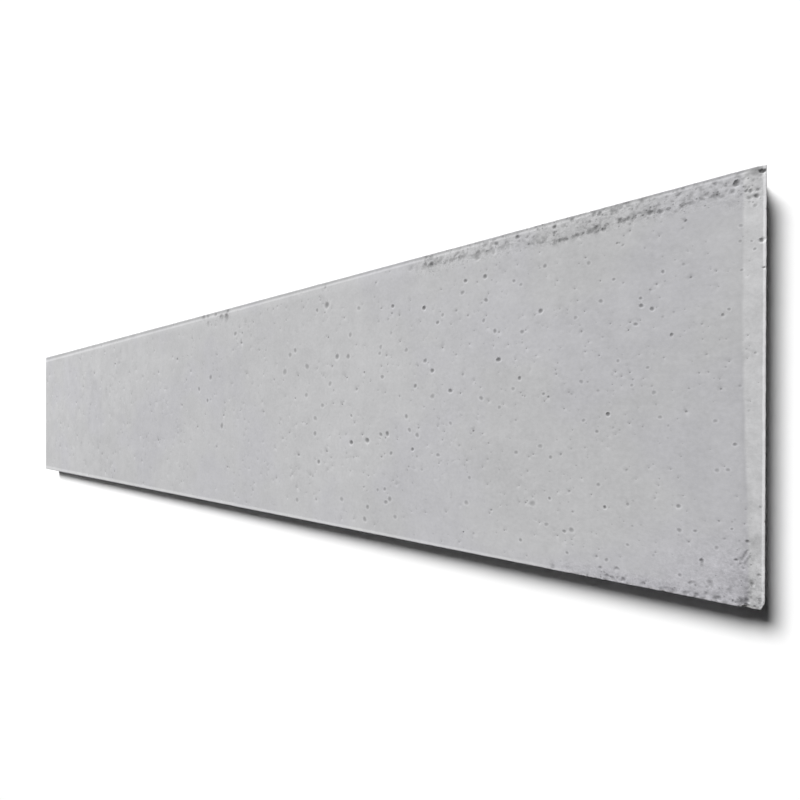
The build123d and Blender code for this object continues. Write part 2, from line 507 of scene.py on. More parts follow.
def open_face(x, y):
    if not clear_of_crumbs(x, y) or abs(x) > 995.5 or y > 196.5 or y < -196:
        return 0.0
    cloud = 0.5 + 0.5 * float(noise(np.array([x]), np.array([y]), 70.0, 71)[0])
    strip = 0.9 if abs(x) > 981 else 1.0
    return (0.45 + 0.55 * cloud) * strip


more = scatter(560, (600, -200), (1000, 200), lambda: power(0.5, 1.6, 2.2), taken, weight=open_face)
more += scatter(360, (150, -200), (600, 200), lambda: power(0.6, 2.3, 2.2), taken + more, weight=open_face)
more += scatter(560, (-1000, -200), (150, 200), lambda: power(0.7, 2.6, 2.1), taken + more, weight=open_face)
for x, y, r in more:
    deep = rng.random() ** 2
    face_rows.append((x, y, r * 1.35, r * (0.12 + 0.45 * deep), 0.26 + 0.40 * deep, 0.0))
face_holes = Holes(face_rows)
crumb_holes = Holes(spots())


def face_height(x, y):
    """Height of the mould face, and how hollow it is, at each point."""
    end = (np.abs(x) - (HL - END_LAND)) * END_DROP / END_LAND
    top = (y - (HW - TOP_LAND)) * TOP_DROP / TOP_LAND
    k = 0.16
    drop = k * np.log(1 + np.exp(np.clip(end / k, -60, 60)) + np.exp(np.clip(top / k, -60, 60)))
    z = THICK - drop
    # a cast face is never dead flat
    z = z - 0.20 + 0.15 * noise(x, y, 210.0, 11) + 0.05 * noise(x, y, 60.0, 12)
    # the arris, rounded and uneven
    d = np.minimum.reduce([HL - np.abs(x), HW - np.abs(y)])
    along = np.where(HL - np.abs(x) < HW - np.abs(y), y + 700.0, x)
    w = 0.80 + 0.25 * noise(along, 0 * x, 9.0, 13) + 0.20 * noise(along, 0 * x, 31.0, 14)
    z = z - 0.55 * w * np.clip(1 - d / w, 0, 1) ** 2
    # where the corner is knocked off, its lip is bruised and pale, and painted paler still as a highlight along the
    # break's edge
    c = ((HL - x) / CHIP[0] + (y + HW) / CHIP[1] - 1) / math.hypot(1 / CHIP[0], 1 / CHIP[1])
    bruise_and_highlight = np.clip(1 - c / 1.9, 0, 1)
    z = z - 0.5 * bruise_and_highlight**1.5
    zone = crumb_zone(x, y)
    ragged = fbm(x, y, 6.0, 21) * 0.10 + fbm(x, y, 2.6, 22, 2) * 0.10
    z = z - zone * (0.10 + ragged)
    dig, hollow = face_holes.dig(x, y)
    dig2, hollow2 = crumb_holes.dig(x, y)
    dig3, hollow3, _ = crumble(x, y)
    dig2, hollow2 = np.maximum(dig2, dig3), np.maximum(hollow2, hollow3)
    for x0, y0, x1, y1, wide, deep in SCRATCHES:
        t = np.clip(((x - x0) * (x1 - x0) + (y - y0) * (y1 - y0)) / ((x1 - x0) ** 2 + (y1 - y0) ** 2), 0, 1)
        g = np.hypot(x - x0 - t * (x1 - x0), y - y0 - t * (y1 - y0)) / (wide * (0.5 + 0.5 * np.sin(math.pi * np.clip(t, 0.08, 0.92))))
        c = deep * np.clip(1 - g * g, 0, 1)
        dig2 = np.maximum(dig2, c)
        hollow2 = np.maximum(hollow2, (0.30 + 0.4 * deep) * np.clip(1 - g * g, 0, 1))
    hollow = np.where(hollow2 > 0, np.maximum(hollow, hollow2), hollow)
    # the pale bruised lip, with a painted highlight along it
    hollow = np.where(bruise_and_highlight > 0.05, -5.0 * bruise_and_highlight, hollow)
    # crumbs that stand proud are scuffed pale, at the near lower corner and
    # along the lower edge
    about = (1 - step(5, 32, np.hypot(x - 996, (y + 197) * 1.1))) + 0.55 * step(790, 860, x) * (1 - step(-198.5, -194.5, y))
    proud = np.clip((fbm(x, y, 3.3, 381) - 0.12) / 0.35, 0, 1) * np.clip(about, 0, 1)
    z = z + 0.12 * proud * (d > 1.0)
    hollow = np.where((hollow <= 0.05) & (hollow > -1.0) & (proud > 0.05), -1.25 * proud, hollow)
    # the lit sides of the pockets in the near upper corner
    for lx, ly, wx, wy, much in ((997.6, 190.8, 1.6, 2.2, 1.6), (978.3, 185.2, 3.2, 1.3, 1.5)):
        lit = np.exp(-(((x - lx) / wx) ** 2) - ((y - ly) / wy) ** 2)
        hollow = np.where((hollow <= 0.05) & (lit > 0.1), -much * lit, hollow)
    return z - np.maximum(dig, dig2), hollow


def face_spacing(x, y):
    base = np.interp(x, (-1000, 0, 400, 650, 850, 1000), (13.0, 11.0, 9.0, 7.0, 5.6, 5.2))
    d = np.minimum.reduce([HL - np.abs(x), HW - np.abs(y)])
    fine = np.interp(x, (-1000, 0, 500, 850, 1000), (3.6, 3.6, 3.2, 2.0, 1.8))
    s = np.minimum(base, fine + 0.45 * np.maximum(d - 2.4, 0))
    crease = np.minimum.reduce([np.abs(np.abs(x) - (HL - END_LAND)), np.abs(y - (HW - TOP_LAND))])
    s = np.minimum(s, fine + 0.8 * crease)
    zone = crumb_zone(x, y)
    s = np.minimum(s, np.interp(x, (600, 900), (1.7, 1.15)) + 10.5 * (1 - zone))
    s = np.minimum(s, 0.85 + 0.35 * near_bites(x, y))
    corner = np.hypot(x - 998, y + 196)
    s = np.minimum(s, 0.8 + 0.12 * np.maximum(corner - 9, 0))
    corner = np.hypot(x - 995, y - 194)
    s = np.minimum(s, 0.85 + 0.15 * np.maximum(corner - 5, 0))
    for sx, sy, sd, _, _ in SPOTS:
        s = np.minimum(s, 0.8 + 0.5 * np.maximum(np.hypot(x - sx, y - sy) - 0.7 * sd, 0))
    return s


def triangulate(points):
    """Delaunay triangles of flat points, as indices into them."""
    verts, _, faces, ids, _, _ = delaunay_2d_cdt([Vector(p) for p in points.tolist()], [], [], 0, 1e-5, True)
    back = [i[0] for i in ids]
    tri = np.array([[back[a], back[b], back[c]] for a, b, c in faces])
    p = points[tri]
    area = (p[:, 1, 0] - p[:, 0, 0]) * (p[:, 2, 1] - p[:, 0, 1]) - (p[:, 1, 1] - p[:, 0, 1]) * (p[:, 2, 0] - p[:, 0, 0])
    tri[area < 0] = tri[area < 0][:, ::-1]
    return tri[np.abs(area) > 1e-9]


def drop_near(points, holes, reach, rim_highlight_reach=None):
    """The points that no hole's mouth, or painted highlight ring, comes near."""
    gone = np.zeros(len(points), bool)
    for k, ids, out in holes.near(points[:, 0], points[:, 1], max(reach, rim_highlight_reach or 0)):
        gone[ids[out < (rim_highlight_reach if rim_highlight_reach and holes.rim_highlight[k] > 0 else reach)]] = True
    return points[~gone]


def ring_points(holes, inside=None):
    """A patch's hole points, without those that fall into another hole."""
    pts, owner = holes.rings()
    gone = np.zeros(len(pts), bool)
    for k, ids, out in holes.near(pts[:, 0], pts[:, 1], 1.12):
        gone[ids[owner[ids] != k]] = True
    return pts[~gone]


def edge_rows(dists):
    """Rows of points inside the outline, at these distances from it."""
    rows = []
    for k, d in enumerate(dists):
        for us, sy in ((U_TOP, 1), (U_LOW, -1)):
            u = us[(np.abs(us) < HL - d - 0.3)]
            w = d * (1 + 0.18 * noise(u, 0 * u, 7.0, 51 + k))
            rows.append(np.column_stack([u, sy * (HW - w)]))
        for vs, sx in ((V_NEAR, 1), (V_FAR, -1)):
            v = vs[(np.abs(vs) < HW - d - 0.3)]
            w = d * (1 + 0.18 * noise(v, 0 * v, 7.0, 57 + k))
            rows.append(np.column_stack([sx * (HL - w), v]))
        for sx in (1, -1):
            for sy in (1, -1):
                rows.append(np.array([[sx * (HL - d), sy * (HW - d)]]))
    return np.vstack(rows)


def crease_rows():
    rows = []
    for off in (-1.3, 0.0, 1.3):
        x = np.concatenate([np.arange(-978, 600, 4.5), np.arange(600, 980, 2.6)])
        rows.append(np.column_stack([x, np.full(len(x), HW - TOP_LAND + off)]))
        y = np.arange(-196, 181, 2.4)
        rows.append(np.column_stack([np.full(len(y), HL - END_LAND + off), y]))
        y = np.arange(-196, 181, 4.5)
        rows.append(np.column_stack([np.full(len(y), -HL + END_LAND + off), y]))
    return np.vstack(rows)


# The outline, walked once round, anticlockwise from above: its corners and
# every point between them are shared by the face, the four edges and the back.
south = np.column_stack([U_LOW, np.full(len(U_LOW), -HW)])
east = np.column_stack([np.full(len(V_NEAR), HL), V_NEAR])
north = np.column_stack([U_TOP, np.full(len(U_TOP), HW)])
west = np.column_stack([np.full(len(V_FAR), -HL), V_FAR])
outline = np.vstack([south[:-1], east[:-1], north[::-1][:-1], west[::-1][:-1]])
N = len(outline)
nS, nE, nN, nW = len(south) - 1, len(east) - 1, len(north) - 1, len(west) - 1
side_ids = {
    "south": np.arange(0, nS + 1),
    "east": np.arange(nS, nS + nE + 1),
    "north": np.arange(nS + nE, nS + nE + nN + 1)[::-1],
    "west": (np.arange(nS + nE + nN, nS + nE + nN + nW + 1) % N)[::-1],
}

coords, hollows, faces = [], [], []
total = 0


def add_points(xyz, hollow):
    global total
    coords.append(np.asarray(xyz, float))
    hollows.append(np.asarray(hollow, float))
    first = total
    total += len(xyz)
    return np.arange(first, total)


def pull_in(x, y, amount):
    """Outline points moved inwards by amount, corners both ways."""
    nx = np.where(np.abs(np.abs(x) - HL) < 1e-6, np.sign(x), 0.0)
    ny = np.where(np.abs(np.abs(y) - HW) < 1e-6, np.sign(y), 0.0)
    return x - nx * amount, y - ny * amount


# upper outline
ox, oy = outline[:, 0], outline[:, 1]
oz, oh = face_height(ox, oy)
lip = 0.14 + 0.12 * noise(ox + oy, ox - oy, 8.0, 61) + 0.08 * noise(ox, oy, 3.0, 62)
lip = lip + 0.35 * (ox > HL - 0.5) * step(-191, -188, oy) * (1 - step(-173, -166, oy))
px, py = pull_in(ox, oy, np.clip(lip, 0.02, 0.8))
TOP = add_points(np.column_stack([px, py, oz]), oh)
# lower outline
lip = 0.45 + 0.2 * noise(ox + oy, ox - oy, 10.0, 63)
px, py = pull_in(ox, oy, np.clip(lip, 0.1, 0.9))
low_z = BACK_ARRIS * (0.8 + 0.25 * noise(ox, oy, 12.0, 64))
BOT = add_points(np.column_stack([px, py, low_z]), np.zeros(N))


def add_patch(rim_flat, rim_ids, inner_flat, lift, flip):
    """Triangulates a flat patch and adds it, its rim already in the mesh."""
    ids = add_points(*lift(inner_flat))
    tri = triangulate(np.vstack([rim_flat, inner_flat]))
    index = np.concatenate([rim_ids, ids])
    tri = index[tri]
    faces.append(tri[:, ::-1] if flip else tri)


# the mould face
grid = graded(-HL, HL, -HW, HW, face_spacing, (0.8, 1.15, 1.7, 2.4, 3.4, 4.8, 6.8, 9.6, 13.0))
margin = np.minimum(HL - np.abs(grid[:, 0]), HW - np.abs(grid[:, 1]))
grid = grid[margin > 2.9]
lines = crease_rows()
gone = np.zeros(len(grid), bool)
gone |= (np.abs(np.abs(np.abs(grid[:, 0]) - (HL - END_LAND))) < 2.0) & (face_spacing(grid[:, 0], grid[:, 1]) > 1.3)
gone |= (np.abs(grid[:, 1] - (HW - TOP_LAND)) < 2.0) & (face_spacing(grid[:, 0], grid[:, 1]) > 1.3)
grid = grid[~gone]
lines = lines[crumb_zone(lines[:, 0], lines[:, 1]) < 0.5]
inner = np.vstack([grid, lines])
inner = drop_near(inner, face_holes, 1.3, 2.0)
rows = edge_rows((0.45, 1.1, 2.1))
rows = drop_near(rows, face_holes, 1.15)
rings = ring_points(face_holes)
rings = rings[np.minimum(HL - np.abs(rings[:, 0]), HW - np.abs(rings[:, 1])) > 2.4]
inner = np.vstack([inner, rows, rings])


def lift_face(p):
    z, h = face_height(p[:, 0], p[:, 1])
    return np.column_stack([p, z]), h


add_patch(outline, TOP, inner, lift_face, False)
print("face points", len(inner))


# the four edges
def side_holes(length, count):
    found = scatter(count, (-length + 4, 5), (length - 4, THICK - 6), lambda: power(0.6, 2.6, 1.9), [])
    return Holes([(x, y, r, r * rng.uniform(0.4, 1.0), rng.uniform(0.3, 0.7), 0.0) for x, y, r in found])


columns = {}


def column(sx, sy):
    """The vertical line of points at a corner, shared by two edges."""
    if (sx, sy) not in columns:
        v = np.array([2.2, 3.6, 6.0, 9.5, 13.5, 17.5, 21.5, 25.0, 28.0, 30.6, 32.8, 34.8, 36.4, 37.8, 39.0])
        top = TOP[np.argmin(np.hypot(ox - sx * HL, oy - sy * HW))]
        z = v / THICK * coords[0][top][2]
        off = 0.5 + 0.15 * noise(v, 0 * v, 5.0, 71 + sx + 3 * sy)
        ids = add_points(np.column_stack([sx * (HL - off), sy * (HW - off), z]), np.zeros(len(v)))
        columns[sx, sy] = (v, ids)
    return columns[sx, sy]


def add_side(name, axis, sign, holes, seed):
    """One edge of the panel.  u runs along it and v up it, 0 to THICK."""
    half, other = (HL, HW) if axis == 0 else (HW, HL)
    ids = side_ids[name]
    us = outline[ids][:, axis]
    top_z = coords[0][ids][:, 2]
    lo_corner = (-1, sign) if axis == 0 else (sign, -1)
    hi_corner = (1, sign) if axis == 0 else (sign, 1)
    v, lo_ids = column(*lo_corner)
    _, hi_ids = column(*hi_corner)
    rim = [np.column_stack([us, np.zeros(len(us))]), np.column_stack([us, np.full(len(us), THICK)])]
    rim_ids = [BOT[ids], TOP[ids]]
    rim.append(np.column_stack([np.full(len(v), -half), v]))
    rim.append(np.column_stack([np.full(len(v), half), v]))
    rim_ids += [lo_ids, hi_ids]

    def spacing(u, w):
        near = np.interp(u, (-HL, 0, 500, 850, HL), (8.0, 7.5, 5.6, 4.0, 3.2)) if axis == 0 else np.full(len(u), 3.2 if sign > 0 else 6.0)
        s = np.minimum(near, 3.0 + 0.5 * np.minimum(THICK - w, w + 2))
        x, y = (u, np.full(len(u), sign * HW)) if axis == 0 else (np.full(len(u), sign * HL), u)
        for bx, by, bz, br in BITES:
            s = np.minimum(s, 0.9 + 0.35 * np.maximum(np.sqrt((x - bx) ** 2 + (y - by) ** 2 + (w * 0.95 - bz) ** 2) - br, 0))
        if name in ("south", "east"):
            d = np.sqrt((x - HL) ** 2 + (y + HW) ** 2 + (0.6 * np.minimum(w - 36, 0)) ** 2)
            s = np.minimum(s, 0.9 + 0.12 * np.maximum(d - 10, 0))
        return s

    p = graded(-half, half, 0, THICK, spacing, (0.85, 1.3, 1.9, 2.7, 3.8, 5.4))
    p = p[(half - np.abs(p[:, 0]) > 1.6) & (p[:, 1] > 1.9) & (p[:, 1] < THICK - 2.0)]
    p = drop_near(p, holes, 1.3)
    extra = []
    for h in (38.6, 39.45):
        extra.append(np.column_stack([us[1:-1], np.full(len(us) - 2, h)]))
    extra.append(np.column_stack([us[1:-1:2], np.full(len(us[1:-1:2]), 1.1)]))
    for u in (-half + 0.9, half - 0.9):
        extra.append(np.column_stack([np.full(len(v), u), v]))
    extra = np.vstack(extra)
    p = np.vstack([p, extra, ring_points(holes)])

    def lift(q):
        u, w = q[:, 0], q[:, 1]
        off = 0.08 + 0.06 * noise(u, w, 90.0, seed) + 0.04 * noise(u, w, 17.0, seed + 1)
        k = 0.95 * (1 + 0.3 * noise(u, 0 * u, 9.0, seed + 2))
        off = off + 0.14 * np.clip(1 - (THICK - w) / (2.0 * k), 0, 1) ** 2
        off = off + 0.40 * np.clip(1 - w / 2.2, 0, 1) ** 2
        off = off + 0.35 * np.clip(1 - (half - np.abs(u)) / 1.6, 0, 1) ** 2
        dig, hollow = holes.dig(u, w)
        off = off + dig
        zt = np.interp(u, us, top_z)
        z0 = np.interp(u, us, coords[1][ids][:, 2])
        z = z0 + (zt - z0) * np.clip(w / THICK, 0, 1)
        a, b = u, sign * (other - off)
        xyz = np.column_stack([a, b, z]) if axis == 0 else np.column_stack([b, a, z])
        return xyz, hollow

    # u cross v points outwards on the south and east edges
    add_patch(np.vstack(rim), np.concatenate(rim_ids), p, lift, flip=(name in ("north", "west")))
    print(name, "points", len(p))


add_side("south", 0, -1, side_holes(HL, 150), 101)
add_side("north", 0, 1, side_holes(HL, 170), 111)
add_side("east", 1, 1, side_holes(HW, 46), 121)
add_side("west", 1, -1, side_holes(HW, 40), 131)

# ------------------------------------------------------------- the back
# struck off with a straightedge and floated, so it is rougher than the face
back_found = scatter(300, (-990, -190), (990, 190), lambda: power(0.7, 3.4, 1.9), [])
back_holes = Holes([(x, y, r, r * rng.uniform(0.3, 0.8), rng.uniform(0.3, 0.7), 0.0) for x, y, r in back_found])


def back_spacing(x, y):
    d = np.minimum(HL - np.abs(x), HW - np.abs(y))
    s = np.minimum(17.0 + 0 * x, 5.0 + 0.7 * d)
    for bx, by, bz, br in BITES:
        if bz < 10:
            s = np.minimum(s, 0.9 + 0.35 * np.maximum(np.hypot(x - bx, y - by) - br, 0))
    return s


def lift_back(p):
    x, y = p[:, 0], p[:, 1]
    float_marks = noise(x + 0.35 * y, y, 120.0, 201) * 0.12 + noise(x * 0.22 + y * 0.05, y, 15.0, 202) * 0.07
    z = 0.22 + float_marks + 0.05 * noise(x, y, 22.0, 203)
    z = np.maximum(z, 0.0)
    d = np.minimum(HL - np.abs(x), HW - np.abs(y))
    z = z + 0.55 * np.clip(1 - d / 2.4, 0, 1) ** 2
    dig, hollow = back_holes.dig(x, y)
    return np.column_stack([x, y, z + dig]), hollow


g = graded(-HL, HL, -HW, HW, back_spacing, (0.9, 1.4, 2.1, 3.2, 4.8, 7.2, 10.8, 16.2))
g = g[np.minimum(HL - np.abs(g[:, 0]), HW - np.abs(g[:, 1])) > 2.6]
g = drop_near(g, back_holes, 1.3)
rows = drop_near(edge_rows((0.6, 1.6)), back_holes, 1.15)
inner = np.vstack([g, rows, ring_points(back_holes)])
add_patch(outline, BOT, inner, lift_back, True)
print("back points", len(inner))

P = np.vstack(coords)
H = np.concatenate(hollows)
T = np.vstack(faces)

# ------------------------------------------------- the breaks, carved in
# the knocked-off corner: a rough flat break
qa = np.array([HL - CHIP[0], -HW, THICK - END_DROP])
qb = np.array([HL, -HW + CHIP[1], THICK - END_DROP])
qc = np.array([HL, -HW, THICK - END_DROP - CHIP[2]])
nrm = np.cross(qb - qa, qc - qa)
nrm /= np.linalg.norm(nrm)
if nrm @ (np.array([HL, -HW, THICK]) - qa) < 0:
    nrm = -nrm
broken = np.zeros(len(P))
s = (P - qa) @ nrm
rough = 0.35 + 0.30 * fbm(P[:, 0] + 0.4 * P[:, 2], P[:, 1] - 0.6 * P[:, 2], 4.0, 301) + 0.12 * noise(P[:, 0] + P[:, 2], P[:, 1], 1.5, 302)
rough = 0.04 + rough * np.clip((37.5 - P[:, 2]) / 5, 0.12, 1)
cut = s > -rough
P[cut] -= nrm * (s[cut] + np.clip(rough[cut], 0, 1.2))[:, None]
broken[cut] = 1.0
# the bites
for bx, by, bz, br in BITES:
    v = P - np.array([bx, by, bz])
    dist = np.linalg.norm(v, axis=1)
    hit = dist < br * 1.3
    if not hit.any():
        continue
    vh = v[hit]
    R = br * (1 + 0.16 * fbm(vh[:, 0] + 31 * bx, vh[:, 1] + 0.7 * vh[:, 2] + 17 * by, 0.8 * br, 311) + 0.05 * noise(vh[:, 0], vh[:, 1] + vh[:, 2], 0.9, 312))
    inside = dist[hit] < R
    ids = np.nonzero(hit)[0][inside]
    P[ids] = np.array([bx, by, bz]) + v[ids] / dist[ids, None] * R[inside, None]
    broken[ids] = 1.0
# nothing stands outside the casting
P[:, 0] = np.clip(P[:, 0], -HL, HL)
P[:, 1] = np.clip(P[:, 1], -HW, HW)
P[:, 2] = np.clip(P[:, 2], 0.0, THICK)

print("points", len(P), "triangles", len(T))

mesh = bpy.data.meshes.new("concrete_panel")
mesh.vertices.add(len(P))
mesh.vertices.foreach_set("co", (P / 1000.0).astype(np.float32).ravel())
mesh.loops.add(len(T) * 3)
mesh.loops.foreach_set("vertex_index", T.astype(np.int32).ravel())
mesh.polygons.add(len(T))
mesh.polygons.foreach_set("loop_start", np.arange(0, len(T) * 3, 3, dtype=np.int32))
mesh.polygons.foreach_set("use_smooth", np.ones(len(T), bool))
mesh.update(calc_edges=True)
mesh.validate()
rest = np.vstack(coords)
crumbly = np.where(rest[:, 2] > 36, np.maximum(crumble(rest[:, 0], rest[:, 1])[2], 0.52 * crumb_zone(rest[:, 0], rest[:, 1])), 0.0)
for name, values in (("hollow", H), ("broken", broken), ("crumbly", crumbly)):
    at = mesh.attributes.new(name, "FLOAT", "POINT")
    at.data.foreach_set("value", values.astype(np.float32))
mesh.set_sharp_from_angle(angle=math.radians(38))
panel = bpy.data.objects.new("concrete_panel", mesh)
scene.collection.objects.link(panel)


# --------------------------------------------------------------- material
def node(tree, kind, **props):
    n = tree.nodes.new(kind)
    for k, v in props.items():
        setattr(n, k, v)
    return n


class Graph:
    """Short ways to write a material's nodes."""

    def __init__(self, name):
        self.mat = bpy.data.materials.new(name)
        self.mat.use_nodes = True
        self.t = self.mat.node_tree
        self.t.nodes.clear()
        self.out = node(self.t, "ShaderNodeOutputMaterial")
        self.bsdf = node(self.t, "ShaderNodeBsdfPrincipled")
        self.t.links.new(self.bsdf.outputs[0], self.out.inputs[0])

    def put(self, value, socket):
        if isinstance(value, bpy.types.NodeSocket):
            self.t.links.new(value, socket)
        else:
            socket.default_value = value

    def math(self, op, a, b=0.0, c=0.0, clamp=False):
        n = node(self.t, "ShaderNodeMath", operation=op, use_clamp=clamp)
        for k, v in enumerate((a, b, c)):
            self.put(v, n.inputs[k])
        return n.outputs[0]

    def ramp(self, value, lo, hi, a=0.0, b=1.0):
        n = node(self.t, "ShaderNodeMapRange", interpolation_type="SMOOTHSTEP")
        self.put(value, n.inputs["Value"])
        for k, v in (("From Min", lo), ("From Max", hi), ("To Min", a), ("To Max", b)):
            n.inputs[k].default_value = v
        return n.outputs[0]

    def scaled(self, vector, sx, sy, sz, shift=(0, 0, 0)):
        n = node(self.t, "ShaderNodeMapping")
        self.put(vector, n.inputs["Vector"])
        n.inputs["Scale"].default_value = (sx, sy, sz)
        n.inputs["Location"].default_value = shift
        return n.outputs[0]

    def noise(self, vector, scale, detail=2.0, rough=0.5, distortion=0.0):
        n = node(self.t, "ShaderNodeTexNoise")
        self.put(vector, n.inputs["Vector"])
        n.inputs["Scale"].default_value = scale
        n.inputs["Detail"].default_value = detail
        n.inputs["Roughness"].default_value = rough
        n.inputs["Distortion"].default_value = distortion
        return n.outputs["Fac"]

    def voronoi(self, vector, scale, randomness=1.0):
        n = node(self.t, "ShaderNodeTexVoronoi")
        self.put(vector, n.inputs["Vector"])
        n.inputs["Scale"].default_value = scale
        n.inputs["Randomness"].default_value = randomness
        return n.outputs["Distance"], n.outputs["Color"]

    def mix(self, fac, a, b):
        n = node(self.t, "ShaderNodeMix", data_type="RGBA")
        self.put(fac, n.inputs[0])
        self.put(a, n.inputs[6])
        self.put(b, n.inputs[7])
        return n.outputs[2]

    def shade(self, colour, value):
        """colour times value."""
        n = node(self.t, "ShaderNodeVectorMath", operation="SCALE")
        self.put(colour, n.inputs[0])
        self.put(value, n.inputs["Scale"])
        return n.outputs[0]

    def attribute(self, name):
        return node(self.t, "ShaderNodeAttribute", attribute_name=name).outputs["Fac"]


def concrete():
    g = Graph("cast_concrete")
    obj = node(g.t, "ShaderNodeTexCoord").outputs["Object"]
    xyz = node(g.t, "ShaderNodeSeparateXYZ")
    g.put(obj, xyz.inputs[0])
    x, y, z = xyz.outputs
    hollow = g.attribute("hollow")
    broken = g.attribute("broken")

    crumbly = g.attribute("crumbly")

    def wave(vector, scale, detail, rough, amount, shift=(0, 0, 0)):
        """Noise between -amount / 2 and amount / 2."""
        n = g.noise(g.scaled(vector, 1, 1, 1, shift), scale, detail, rough)
        return g.math("MULTIPLY_ADD", n, amount, -0.5 * amount)

    # tone: painted shade that darkens the face towards the near end, slow clouds, mottling, faint streaks across the
    # panel, grain
    tone = g.math("ADD", g.ramp(x, 0.68, 0.94, 1.0, 0.945), wave(obj, 3.2, 3.0, 0.55, 0.16))
    tone = g.math("ADD", tone, wave(obj, 15.0, 4.0, 0.60, 0.21, (7, 3, 1)))
    tone = g.math("ADD", tone, wave(obj, 75.0, 3.0, 0.55, 0.145, (2, 6, 3)))
    tone = g.math("MULTIPLY_ADD", wave(obj, 30.0, 2.0, 0.55, 0.17, (5, 1, 9)), g.ramp(x, 0.35, -0.35), tone)
    streak = g.noise(g.scaled(obj, 46.0, 3.0, 3.0, (3, 1, 0)), 1.0, 3.0, 0.6)
    tone = g.math("MULTIPLY_ADD", streak, 0.06, g.math("SUBTRACT", tone, 0.03))
    fine = g.noise(g.scaled(obj, 1, 1, 1, (2, 9, 4)), 230.0, 4.0, 0.62)
    tone = g.math("MULTIPLY_ADD", fine, 0.24, g.math("SUBTRACT", tone, 0.12))
    grain = g.noise(obj, 1100.0, 2.0, 0.6)
    tone = g.math("MULTIPLY_ADD", grain, 0.07, g.math("SUBTRACT", tone, 0.035))

    # the tapered ends are painted paler: partly a paler, cloudier skin and partly a painted highlight, lighter than the
    # light on their slope gives; the pale line at the tip is a painted highlight
    wobble = wave(obj, 40.0, 2.0, 0.5, 0.003)
    lean = g.math("MULTIPLY", g.ramp(y, 0.06, -0.19), -0.0052)
    near = g.ramp(g.math("ADD", g.math("ADD", x, wobble), lean), 0.9818, 0.9848)
    far = g.ramp(g.math("ADD", g.math("MULTIPLY", x, -1.0), wobble), 0.9818, 0.9848)
    skin = g.math("MAXIMUM", g.ramp(z, 0.0338, 0.0362), broken)
    near = g.math("MULTIPLY", near, skin)
    far = g.math("MULTIPLY", far, skin)
    ends = g.math("ADD", near, far)
    # low down on the near end that pale skin fades, and the concrete there is mottled
    near_low = g.math("MULTIPLY", near, g.ramp(g.math("ADD", y, wave(obj, 70.0, 2.0, 0.5, 0.014, (3, 3, 7))), -0.156, -0.184))
    # painted highlight and paler skin on the ends, less of it low down on the near end
    tone = g.math("MULTIPLY_ADD", g.math("MULTIPLY_ADD", near_low, -0.40, ends), 0.212, tone)
    cloud = g.math("ADD", wave(obj, 48.0, 3.0, 0.55, 0.42, (4, 4, 4)), wave(obj, 330.0, 3.0, 0.7, 0.34, (1, 2, 3)))
    tone = g.math("MULTIPLY_ADD", ends, cloud, tone)
    dull = g.math("MULTIPLY", near, g.ramp(g.math("ADD", y, wave(obj, 45.0, 2.0, 0.5, 0.06)), -0.02, -0.13))
    tone = g.math("MULTIPLY_ADD", dull, g.math("ADD", -0.09, wave(obj, 110.0, 3.0, 0.6, 0.50, (6, 2, 8))), tone)
    thin = wave(obj, 150.0, 2.0, 0.5, 0.0012)
    # painted highlight: a pale line on the arris just inside the near end
    tip_highlight = g.math("MULTIPLY", g.ramp(g.math("ADD", x, thin), 0.9972, 0.9979), g.ramp(g.math("ADD", x, thin), 0.9992, 0.9998, 1.0, 0.0))
    tone = g.math("MULTIPLY_ADD", tip_highlight, 0.34, tone)
    # painted highlight and shade: along the lower edge runs a pale line, a painted highlight, and along the upper one a
    # dark line of painted shade with a pale painted highlight inside it, all narrower towards the near end
    wide = g.math("MULTIPLY_ADD", x, -1.35, 2.25)
    def strip(d, a, b, c, e):
        return g.math("MULTIPLY", g.ramp(d, a, b), g.ramp(d, c, e, 1.0, 0.0))
    low = g.math("DIVIDE", g.math("ADD", g.math("ADD", y, 0.2), thin), wide)
    low = g.math("MULTIPLY", strip(low, 0.0006, 0.0012, 0.0028, 0.0036), g.ramp(x, 0.72, 0.86, 1.0, 0.2))
    # painted highlight along the lower arris
    tone = g.math("MULTIPLY_ADD", low, 0.21, tone)
    up = g.math("DIVIDE", g.math("ADD", g.math("SUBTRACT", 0.2, y), thin), wide)
    # painted shade on the upper arris, then a painted highlight just inside it
    tone = g.math("MULTIPLY_ADD", strip(up, 0.0006, 0.0013, 0.0021, 0.0028), -0.19, tone)
    tone = g.math("MULTIPLY_ADD", strip(up, 0.0029, 0.0036, 0.0046, 0.0055), 0.19, tone)
    top = g.ramp(g.math("ADD", y, wobble), 0.1800, 0.1850)
    tone = g.math("MULTIPLY_ADD", top, 0.0, tone)
